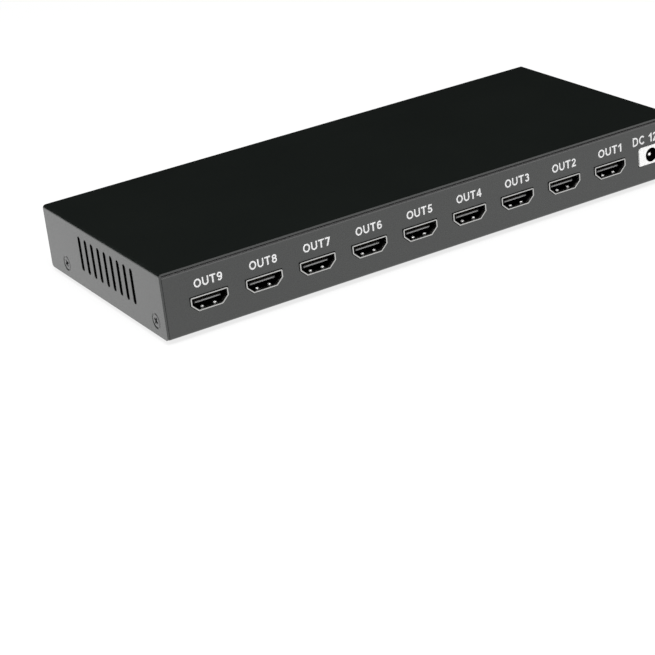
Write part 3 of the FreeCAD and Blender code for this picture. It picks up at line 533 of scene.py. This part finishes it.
# Each glyph has its width, then its shapes: filled outlines, open lines and closed rings
GLYPHS = {
    "O": (0.92, [("ring", loop(0.46, 0.5, 0.46 - EDGE, 0.5 - EDGE))]),
    "U": (0.80, [("line", [(EDGE, 1.0)] + arc(0.4, 0.4, 0.4 - EDGE, 0.4 - EDGE, 180, 360)
                  + [(0.8 - EDGE, 1.0)])]),
    "T": (0.76, [bar(0, 0.76, 1 - STROKE, 1), bar(0.28, 0.48, 0, 1 - STROKE)]),
    "D": (0.84, [("ring", [(EDGE, EDGE), (EDGE, 1 - EDGE)]
                  + arc(0.38, 0.5, 0.46 - EDGE, 0.5 - EDGE, 90, -90))]),
    "C": (0.86, [("line", arc(0.47, 0.5, 0.47 - EDGE, 0.5 - EDGE, 40, 320, 24))]),
    "V": (0.84, [("fill", [(0, 1), (0.21, 1), (0.42, 0.28), (0.63, 1), (0.84, 1),
                           (0.53, 0), (0.31, 0)])]),
    "A": (0.88, [("fill", [(0, 0), (0.21, 0), (0.44, 0.76), (0.44, 1), (0.33, 1)]),
                 ("fill", [(0.88, 0), (0.67, 0), (0.44, 0.76), (0.44, 1), (0.55, 1)]),
                 ("fill", [(0.274, 0.21), (0.606, 0.21), (0.555, 0.38), (0.325, 0.38)])]),
    "I": (0.20, [bar(0, 0.2, 0, 1)]),
    "N": (0.80, [bar(0, 0.19, 0, 1), bar(0.61, 0.80, 0, 1),
                 ("fill", [(0.19, 0.68), (0.61, 0), (0.61, 0.32), (0.19, 1)])]),
    "R": (0.86, [bar(0, 0.2, 0, 1),
                 ("line", [(0.2, 1 - EDGE)] + arc(0.48, 0.70, 0.225, 0.205, 90, -90)
                  + [(0.2, 0.495)]),
                 ("fill", [(0.36, 0.40), (0.57, 0.40), (0.86, 0), (0.62, 0)])]),
    "P": (0.80, [bar(0, 0.19, 0, 1),
                 ("line", [(0.19, 1 - EDGE)] + arc(0.45, 0.685, 0.26, 0.23, 90, -90)
                  + [(0.19, 0.455)])]),
    "L": (0.68, [("fill", [(0, 0), (0.68, 0), (0.68, 0.18), (0.2, 0.18), (0.2, 1), (0, 1)])]),
    "1": (0.46, [("fill", [(0.26, 0), (0.46, 0), (0.46, 1), (0.30, 1), (0.18, 0.86),
                           (0, 0.78), (0, 0.61), (0.14, 0.66), (0.26, 0.74)])]),
    "2": (0.66, [("fill", [(0, 0), (0.66, 0), (0.66, 0.175), (0.02, 0.175)]),
                 ("line", arc(0.335, 0.70, 0.225, 0.205, 172, -38) + [(0.13, 0.15)])]),
    "3": (0.66, [("line", arc(0.32, 0.72, 0.21, 0.185, 162, -96)),
                 ("line", arc(0.32, 0.315, 0.24, 0.22, 96, -162))]),
    "4": (0.70, [bar(0.40, 0.59, 0, 1), bar(0, 0.40, 0.22, 0.39), bar(0.59, 0.70, 0.22, 0.39),
                 ("fill", [(0, 0.39), (0.18, 0.39), (0.40, 0.72), (0.40, 1)])]),
    "5": (0.66, [bar(0.12, 0.61, 0.82, 1),
                 ("fill", [(0.12, 0.82), (0.29, 0.82), (0.245, 0.58), (0.04, 0.47)]),
                 ("line", arc(0.32, 0.32, 0.24, 0.225, 136, -162, 20))]),
    "6": (0.68, SIX),
    "7": (0.66, [("fill", [(0, 0.82), (0.42, 0.82), (0.14, 0), (0.35, 0), (0.66, 0.86),
                           (0.66, 1), (0, 1)])]),
    "8": (0.68, [("ring", loop(0.34, 0.72, 0.215, 0.185)),
                 ("ring", loop(0.34, 0.315, 0.245, 0.22))]),
    "9": (0.68, turned(SIX, 0.68)),
}


def offset_sides(points, closed):
    """Both sides of a stroke along a line, with mitred corners."""
    count = len(points)
    sides = ([], [])
    for index, point in enumerate(points):
        here = Vector(point)
        before = Vector(points[index - 1]) if closed or index else None
        after = Vector(points[(index + 1) % count]) if closed or index < count - 1 else None
        came = (here - before).normalized() if before else (after - here).normalized()
        goes = (after - here).normalized() if after else came
        middle = (came + goes).normalized()
        reach = EDGE / max(SHARPEST_MITRE, middle.dot(goes))
        square = Vector((-middle.y, middle.x)) * reach
        sides[0].append(tuple(here + square))
        sides[1].append(tuple(here - square))
    return sides


def add_glyph(builder, shapes, place):
    """A glyph's shapes as thin solids, each a little higher than the last: no faces coincide."""
    for order, (kind, points) in enumerate(shapes):
        top = 1.0 + LABEL_STEP * order
        if kind == "fill":
            add_rings(builder, [[place(x, y, level) for x, y in points] for level in (-top, top)])
            continue
        closed = kind == "ring"
        sections = [[place(*a, -top), place(*b, -top), place(*b, top), place(*a, top)]
                    for a, b in zip(*offset_sides(points, closed))]
        if closed:
            sections.append(sections[0])
        add_rings(builder, sections, not closed)


def label(name, text, panel, left, right, low, high):
    """Printed capitals that fill a rectangle of a panel."""
    widths = [WORD_GAP if mark == " " else GLYPHS[mark][0] for mark in text]
    across = (right - left) / (sum(widths) + LETTER_GAP * (len(text) - 1))
    up = high - low
    builder = bmesh.new()
    start = 0.0

    def place(x, y, level):
        return panel @ Vector((left + (start + x) * across, level * LABEL_THICKNESS, low + y * up))

    for mark, width in zip(text, widths):
        if mark != " ":
            add_glyph(builder, GLYPHS[mark][1], place)
        start += width + LETTER_GAP
    bmesh.ops.remove_doubles(builder, verts=builder.verts, dist=SAME_POINT)
    piece(name, builder, LABEL_WHITE)


def make_labels():
    """Generic names of the sockets."""
    left, right, low, high = (edge * MM for edge in OUTPUT_LABEL)
    for number in range(1, OUTPUT_COUNT + 1):
        shell_low, shell_high = panel_box("output_%d_shell" % number, OUTPUT)
        middle = (shell_low.x + shell_high.x) / 2
        label("label_out_%d" % number, "OUT%d" % number, OUTPUT,
              middle + left, middle + right, low, high)
    for name, text, panel, *edges in LABELS:
        label(name, text, panel, *(edge * MM for edge in edges))


# Small parts of the video sockets

VIDEO_SOCKETS = [("output_%d" % number, OUTPUT) for number in range(1, OUTPUT_COUNT + 1)]
VIDEO_SOCKETS.append(("video_input", INPUT))

CONTACT_ROWS = ((10, 1), (9, -1))      # how many, and on which face of the tongue
CONTACT_PITCH = 1.0 * MM
CONTACT_WIDTH = 0.45 * MM
CONTACT_RELIEF = 0.07 * MM
CONTACT_START = 0.75 * MM
CONTACT_LENGTH = 5.6 * MM

# Size of the painted highlight strip on each tongue's front edge
TONGUE_EDGE_WIDTH = 9.8 * MM
TONGUE_EDGE_HEIGHT = 0.52 * MM
TONGUE_EDGE_PROUD = 0.05 * MM
TONGUE_EDGE_ROOT = 0.03 * MM

CREST_RADIUS = 0.60 * MM
CREST_FLATNESS = 0.6
CREST_DEPTH = 1.9 * MM
CREST_HEIGHT = 0.74 * MM


def tongue_front(name, panel):
    """Middle of the front of a socket's tongue, in its panel's frame."""
    low, high = panel_box(name + "_insulator", panel)
    shell_top = panel_box(name + "_shell", panel)[1].z
    return Vector(((low.x + high.x) / 2, low.y, shell_top - VIDEO_SHELL_HEIGHT / 2))


def add_contact(builder, x, start, end, level, rise, matrix):
    """A flat contact with a bevelled front end, on the upper or lower face of a tongue."""
    half = CONTACT_WIDTH / 2
    inner = level - rise
    outer = level + rise
    profile = [(start + abs(rise), outer), (end, outer), (end, inner), (start, inner)]
    rings = [[matrix @ Vector((x + side, y, z)) for y, z in profile] for side in (-half, half)]
    add_rings(builder, rings)


def make_video_contacts():
    """Ten contacts above and nine below every tongue, in a darkened gold: painted shade."""
    builder = bmesh.new()
    for name, panel in VIDEO_SOCKETS:
        front = tongue_front(name, panel)
        start = front.y + CONTACT_START
        for count, side in CONTACT_ROWS:
            level = front.z + side * TONGUE_THICKNESS / 2
            for index in range(count):
                x = front.x + (index - (count - 1) / 2) * CONTACT_PITCH
                add_contact(builder, x, start, start + CONTACT_LENGTH, level,
                            side * CONTACT_RELIEF, panel)
    piece("video_contacts", builder, CONTACT_SHADED_GOLD)


def make_tongue_edges():
    """A grey strip on the front edge of every tongue: a painted highlight."""
    builder = bmesh.new()
    across = TONGUE_EDGE_WIDTH / 2
    up = TONGUE_EDGE_HEIGHT / 2
    for name, panel in VIDEO_SOCKETS:
        front = tongue_front(name, panel)
        outline = [(front.x - across, front.z - up), (front.x + across, front.z - up),
                   (front.x + across, front.z + up), (front.x - across, front.z + up)]
        add_prism(builder, outline, front.y + TONGUE_EDGE_ROOT, front.y - TONGUE_EDGE_PROUD, panel)
    piece("tongue_edge_highlights", builder, TONGUE_EDGE_HIGHLIGHT)


def make_finger_crests():
    """The crests of the two spring fingers in every shield's floor, coloured near-white as a
    painted highlight.
    """
    builder = bmesh.new()
    for name, panel in VIDEO_SOCKETS:
        low, high = panel_box(name + "_shell", panel)
        floor = high.z - VIDEO_SHELL_HEIGHT
        for side in (-1, 1):
            crest = Vector(((low.x + high.x) / 2 + side * FINGER_SPACING / 2,
                            low.y + CREST_DEPTH, floor + CREST_HEIGHT))
            dome = bmesh.ops.create_uvsphere(builder, u_segments=20, v_segments=10,
                                             radius=CREST_RADIUS)
            for vertex in dome["verts"]:
                vertex.co.z *= CREST_FLATNESS
                vertex.co = panel @ (crest + vertex.co)
    piece("finger_crests", builder, FINGER_CREST_HIGHLIGHT)


# Rounded ends of the ventilation slots, and linings of painted shade in them

VENT_LOW = cover_low.z + VENT_HEIGHT - VENT_LENGTH / 2
VENT_HIGH = VENT_LOW + VENT_LENGTH
VENT_RADIUS = VENT_WIDTH / 2
VENT_CORNER_STEPS = 8
LINING_STEPS = 12
LINING_RADIUS = VENT_RADIUS - 0.06 * MM
LINING_START = 0.015 * MM
LINING_END = SHEET + 0.05 * MM


def vent_places():
    """The end wall of every slot, as a sign, and the Y of its middle."""
    middle = cover_middle.y - VENT_SHIFT
    return [(side, middle + (index - (VENT_COUNT - 1) / 2) * VENT_PITCH)
            for side in (-1, 1) for index in range(VENT_COUNT)]


def make_vent_ends():
    """Fillers that round the four corners of every ventilation slot."""
    builder = bmesh.new()
    quarter = [math.pi / 2 * step / VENT_CORNER_STEPS for step in range(VENT_CORNER_STEPS + 1)]
    outline = [(1.0, 1.0)] + [(math.cos(a), math.sin(a)) for a in quarter]
    for side, y in vent_places():
        for end, z in ((-1, VENT_LOW + VENT_RADIUS), (1, VENT_HIGH - VENT_RADIUS)):
            for edge in (-1, 1):
                add_rings(builder, [
                    [Vector((side * x, y + edge * VENT_RADIUS * p, z + end * VENT_RADIUS * q))
                     for p, q in outline] for x in (cover_high.x, cover_high.x - SHEET)])
    piece("vent_slot_ends", builder, BLACK_PAINT)


def make_vent_linings():
    """Thin sleeves of painted shade in the slots, from just behind the outer face."""
    builder = bmesh.new()
    section = ((LINING_START, VENT_RADIUS), (LINING_START, LINING_RADIUS),
               (LINING_END, LINING_RADIUS), (LINING_END, VENT_RADIUS))
    for side, y in vent_places():
        sections = []
        for center, first in ((VENT_HIGH - VENT_RADIUS, 0.0), (VENT_LOW + VENT_RADIUS, math.pi)):
            for step in range(LINING_STEPS + 1):
                angle = first + math.pi * step / LINING_STEPS
                sections.append([Vector((side * (cover_high.x - depth),
                                         y + radius * math.cos(angle),
                                         center + radius * math.sin(angle)))
                                 for depth, radius in section])
        sections.append(sections[0])
        add_rings(builder, sections, False)
    piece("vent_shade_linings", builder, SHADE_BLACK)


# Screws

SCREW_SEGMENTS = 36
THREAD_ROWS = 6      # rings in each turn of a thread

# Radius and depth in millimetres down a cover screw's head, with its rounded shoulder
SCREW_HEAD = ((1.75, 0.03), (2.15, 0.06), (2.40, 0.13), (2.55, 0.24), (2.62, 0.38),
              (1.5, 0.96), (1.5, 1.05))
SCREW_THREAD = (0.28 * MM, 0.5 * MM)              # depth and pitch
SCREW_THREAD_SPAN = (1.1 * MM, 3.8 * MM)
SCREW_TIP = (1.1 * MM, 4.1 * MM)                  # radius and depth
SCREW_TWISTS = ((0.5, 1.1), (0.2, 0.8))           # left and right end wall

# Depth, reach and half width in millimetres of the arms of the cross recess
RECESS = ((-0.2, 1.45, 0.46), (0.1, 1.45, 0.46), (1.3, 0.7, 0.276))

# A jackscrew's bevel, turned with a lathe shape that stays clear of the hexagon's corners
JACKSCREW_SEGMENTS = 60
JACKSCREW_BEVEL = 0.55 * MM
JACKSCREW_FACE = 0.93      # share of the flats that the bevel leaves at the face
LATHE_TIP = 0.90
LATHE_CLEAR = 1.2
LATHE_START = 0.1 * MM
LATHE_SKIN = 0.001 * MM
BORE_MOUTH = ((1.75, -0.1), (1.72, 0.0), (1.42, 0.32))      # radius and depth in millimetres
BORE_RADIUS = 1.42 * MM
BORE_THREAD = (0.26 * MM, 0.635 * MM)
BORE_THREAD_SPAN = (0.36 * MM, 4.0 * MM)
BORE_TIP = (0.4 * MM, 4.3 * MM)


def thread_rings(radius, thread, start, end, matrix, center=(0.0, 0.0)):
    """Rings of a helical thread along Y: the radius rises and falls once a turn."""
    depth, pitch = thread
    rows = round((end - start) / pitch * THREAD_ROWS)
    rings = []
    for row in range(rows + 1):
        y = start + (end - start) * row / rows
        ring = []
        for index in range(SCREW_SEGMENTS):
            share = index / SCREW_SEGMENTS
            angle = 2 * math.pi * share
            phase = (row / THREAD_ROWS + share) % 1.0
            reach = radius - depth * (1.0 - abs(2.0 * phase - 1.0))
            ring.append(matrix @ Vector((center[0] + reach * math.cos(angle), y,
                                         center[1] + reach * math.sin(angle))))
        rings.append(ring)
    return rings


def end_frame(side, y, z):
    """A frame on an end wall with Y inward, at a screw."""
    turn = Matrix.Rotation(side * math.pi / 2, 4, "Z")
    return Matrix.Translation((side * cover_high.x, y, z)) @ turn


def make_cover_screw(side, y, z, twist):
    """A countersunk screw with a rounded shoulder, a cross recess and a threaded shank."""
    local = end_frame(side, y, z) @ Matrix.Rotation(twist, 4, "Y")
    rings = [circle(radius * MM, depth * MM, local, SCREW_SEGMENTS)
             for radius, depth in SCREW_HEAD]
    rings += thread_rings(SCREW_RADIUS, SCREW_THREAD, *SCREW_THREAD_SPAN, local)
    rings.append(circle(*SCREW_TIP, local, SCREW_SEGMENTS))
    builder = bmesh.new()
    add_rings(builder, rings)
    screw = loose("screw", builder)
    for turn in (0, 1):
        arm = local @ Matrix.Rotation(turn * math.pi / 2, 4, "Y")
        cutter = bmesh.new()
        add_rings(cutter, [
            [arm @ Vector((along * MM, depth * MM, across * MM)) for along, across in (
                (-reach, -half), (reach, -half), (reach, half), (-reach, half))]
            for depth, reach, half in RECESS])
        boolean(screw, loose("cutter", cutter), "DIFFERENCE")
    return screw


def make_cover_screws():
    """The four screws of the cover."""
    low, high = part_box("cover_screws")
    places = (low.y + SCREW_HEAD_RADIUS, high.y - SCREW_HEAD_RADIUS)
    screws = [make_cover_screw(side, y, (low.z + high.z) / 2, twist)
              for side, twists in zip((-1, 1), SCREW_TWISTS) for y, twist in zip(places, twists)]
    made = join("cover_screw_set", screws, SCREW_BLACK)
    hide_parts("cover_screws")


def make_jackscrew(x, z):
    """A hexagonal jackscrew, bevelled at its end, with a countersunk threaded bore."""
    corner = JACKSCREW_FLATS / math.sqrt(3)
    flat = JACKSCREW_FLATS / 2
    face = -JACKSCREW_LENGTH
    angles = [math.radians(60 * index) for index in range(6)]
    hexagon = [(x + corner * math.sin(a), z + corner * math.cos(a)) for a in angles]
    builder = bmesh.new()
    add_prism(builder, hexagon, 0.0, face, INPUT)
    screw = loose("jackscrew", builder)
    lathe = bmesh.new()
    add_rings(lathe, [circle(radius, y, INPUT, JACKSCREW_SEGMENTS, (x, z)) for radius, y in (
        (corner * LATHE_CLEAR, LATHE_START), (corner * LATHE_CLEAR, face + JACKSCREW_BEVEL),
        (flat * JACKSCREW_FACE, face), (flat * LATHE_TIP, face - LATHE_SKIN))])
    boolean(screw, loose("lathe", lathe), "INTERSECT")
    rings = [circle(radius * MM, face + depth * MM, INPUT, SCREW_SEGMENTS, (x, z))
             for radius, depth in BORE_MOUTH]
    start, end = BORE_THREAD_SPAN
    rings += thread_rings(BORE_RADIUS, BORE_THREAD, face + start, face + end, INPUT, (x, z))
    radius, depth = BORE_TIP
    rings.append(circle(radius, face + depth, INPUT, SCREW_SEGMENTS, (x, z)))
    bore = bmesh.new()
    add_rings(bore, rings)
    boolean(screw, loose("bore", bore), "DIFFERENCE")
    return screw


def make_jackscrews():
    """The jackscrews of both flanged sockets."""
    screws = []
    for shell, span in JACKSCREW_SPANS:
        low, high = panel_box(shell, INPUT)
        for end in (-1, 1):
            x = (low.x + high.x) / 2 + end * span / 2
            screws.append(make_jackscrew(x, (low.z + high.z) / 2))
    made = join("jackscrew_set", screws, NICKEL_SCREW)
    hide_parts("jackscrews")


# Power inlet

LINER_SEGMENTS = 40
LINER_RADIUS = 2.72 * MM
LINER_START = 0.25 * MM
LINER_LIP = 0.13 * MM
LINER_FLOOR = (1.3 * MM, 2.7 * MM)            # inner and outer radius
LINER_FLOOR_SPAN = (0.02 * MM, 0.3 * MM)      # in front of the bore's end
PIN_SEGMENTS = 32
PIN_DOME = 0.45 * MM
PIN_DOME_STEPS = 16
# The step of the pin's dome where its painted shade ends and its silver tip begins
PIN_SHADE_END = 10


def jack_axis():
    """The X, the front's Y and the Z of the inlet's axis, in the output panel's frame."""
    low, high = panel_box("power_jack", OUTPUT)
    return (low.x + high.x) / 2, low.y, low.z + JACK_HOLE_HEIGHT


def make_jack_liner():
    """A liner of painted shade in the inlet's bore, with a floor."""
    x, front, z = jack_axis()
    start = front + LINER_START
    end = front + JACK_HOLE_DEPTH
    section = ((JACK_HOLE_RADIUS, start), (LINER_RADIUS, start + LINER_LIP),
               (LINER_RADIUS, end), (JACK_HOLE_RADIUS, end))
    builder = bmesh.new()
    sections = []
    for index in range(LINER_SEGMENTS + 1):
        angle = 2 * math.pi * index / LINER_SEGMENTS
        sections.append([OUTPUT @ Vector((x + radius * math.cos(angle), y,
                                          z + radius * math.sin(angle)))
                         for radius, y in section])
    add_rings(builder, sections, False)
    inner, outer = LINER_FLOOR
    back, fore = (end - reach for reach in LINER_FLOOR_SPAN)
    add_rings(builder, [circle(radius, y, OUTPUT, LINER_SEGMENTS, (x, z)) for radius, y in (
        (inner, back), (inner, fore), (outer, fore), (outer, back))], False)
    piece("jack_shade_liner", builder, SHADE_BLACK)


def make_pin_tip():
    """The rounded end of the inlet's pin: a nose in painted shade and a tip in the pin's own
    silver.
    """
    x, _, z = jack_axis()
    front = panel_box("power_pin", OUTPUT)[0].y
    dome = []
    for step in range(PIN_DOME_STEPS):
        angle = math.pi / 2 * step / PIN_DOME_STEPS
        dome.append(circle(JACK_PIN_RADIUS * math.cos(angle), front - PIN_DOME * math.sin(angle),
                           OUTPUT, PIN_SEGMENTS, (x, z)))
    nose = bmesh.new()
    add_rings(nose, dome[:PIN_SHADE_END + 1])
    piece("power_pin_nose", nose, PIN_SHADED)
    tip = bmesh.new()
    add_rings(tip, dome[PIN_SHADE_END:])
    piece("power_pin_tip", tip, PIN_SILVER)


# Scene

WHITE = (1.0, 1.0, 1.0)
FLOOR_HALF = 6.0
FLOOR_STEPS = 12
FLOOR_LEVEL = -0.05 * MM
FLOOR_PAINT = (0.90, 0.90, 0.90)
FLOOR_GLOSS = 0.6
FLOOR_GLOW = 0.8
WORLD_FILL = 0.35
WORLD_DARK = 0.008
LAMP_TARGET = (0.0, 0.0, 0.01)

# Name, place, size and power of each lamp
LAMPS = (
    ("light_above", (-0.15, -0.25, 1.5), (1.2, 1.2), 12.0),
    ("light_front", (-0.35, -0.9, 1.55), (1.0, 0.6), 17.8),
    ("light_left", (-1.4, 0.1, 1.1), (0.8, 0.8), 8.0),
)


def add_camera():
    """The photograph's camera."""
    azimuth = math.radians(CAMERA_AZIMUTH)
    elevation = math.radians(CAMERA_ELEVATION)
    roll = math.radians(CAMERA_ROLL)
    forward = Vector((math.sin(azimuth) * math.cos(elevation),
                      math.cos(azimuth) * math.cos(elevation), -math.sin(elevation)))
    level = forward.cross(Vector((0, 0, 1))).normalized()
    upright = level.cross(forward)
    right = level * math.cos(roll) + upright * math.sin(roll)
    up = right.cross(forward)
    data = bpy.data.cameras.new("camera")
    data.sensor_width = CAMERA_SENSOR
    data.lens = CAMERA_LENS
    data.shift_x, data.shift_y = CAMERA_SHIFT
    data.clip_start = 0.01
    data.clip_end = 20.0
    camera = linked("camera", data)
    turn = Matrix((right, up, -forward)).transposed().to_4x4()
    camera.matrix_world = Matrix.Translation(CAMERA_PLACE) @ turn
    bpy.context.scene.camera = camera


def add_lamps():
    """Three soft lamps that point at the object."""
    for name, place, size, power in LAMPS:
        data = bpy.data.lights.new(name, "AREA")
        data.shape = "RECTANGLE"
        data.size, data.size_y = size
        data.energy = power
        lamp = linked(name, data)
        lamp.location = place
        direction = Vector(LAMP_TARGET) - Vector(place)
        lamp.rotation_euler = direction.to_track_quat("-Z", "Y").to_euler()


def add_world():
    """White to the camera, a soft grey fill for matt surfaces and a dark studio in gloss."""
    world = bpy.data.worlds.new("studio")
    bpy.context.scene.world = world
    world.use_nodes = True
    nodes = Nodes(world.node_tree)
    rays = nodes.add("ShaderNodeLightPath").outputs
    fill = nodes.maths("MULTIPLY_ADD", rays["Is Diffuse Ray"], WORLD_FILL, WORLD_DARK)
    background = nodes.add("ShaderNodeBackground")
    nodes.feed(WHITE, background.inputs["Color"])
    nodes.feed(nodes.maths("MAXIMUM", rays["Is Camera Ray"], fill), background.inputs["Strength"])
    output = nodes.add("ShaderNodeOutputWorld")
    nodes.link(background.outputs[0], output.inputs["Surface"])


def add_floor():
    """A wide pale floor that shows white to the camera and in gloss, and keeps shadows."""
    builder = bmesh.new()
    bmesh.ops.create_grid(builder, x_segments=FLOOR_STEPS, y_segments=FLOOR_STEPS, size=FLOOR_HALF,
                          matrix=Matrix.Translation((0.0, 0.0, FLOOR_LEVEL)))
    mesh = bpy.data.meshes.new("floor")
    builder.to_mesh(mesh)
    builder.free()
    floor = linked("floor", mesh)
    material = bpy.data.materials.new("floor")
    material.use_nodes = True
    nodes = Nodes(material.node_tree)
    rays = nodes.add("ShaderNodeLightPath").outputs
    diffuse = nodes.add("ShaderNodeBsdfDiffuse")
    nodes.feed(FLOOR_PAINT, diffuse.inputs["Color"])
    glow = nodes.add("ShaderNodeEmission")
    nodes.feed(WHITE, glow.inputs["Color"])
    nodes.feed(nodes.maths("MULTIPLY_ADD", rays["Is Glossy Ray"], FLOOR_GLOSS, 1.0),
               glow.inputs["Strength"])
    seen = nodes.maths("MAXIMUM", rays["Is Camera Ray"], rays["Is Glossy Ray"])
    mix = nodes.add("ShaderNodeMixShader")
    for value, socket in zip((nodes.maths("MULTIPLY", seen, FLOOR_GLOW), diffuse.outputs[0],
                              glow.outputs[0]), mix.inputs):
        nodes.link(value, socket)
    output = nodes.add("ShaderNodeOutputMaterial")
    nodes.link(mix.outputs[0], output.inputs["Surface"])
    mesh.materials.append(material)


dress_nodes()
make_labels()
make_video_contacts()
make_tongue_edges()
make_finger_crests()
make_vent_ends()
make_vent_linings()
make_cover_screws()
make_jackscrews()
make_jack_liner()
make_pin_tip()
add_camera()
add_lamps()
add_world()
add_floor()
bpy.context.scene.view_settings.view_transform = "Standard"
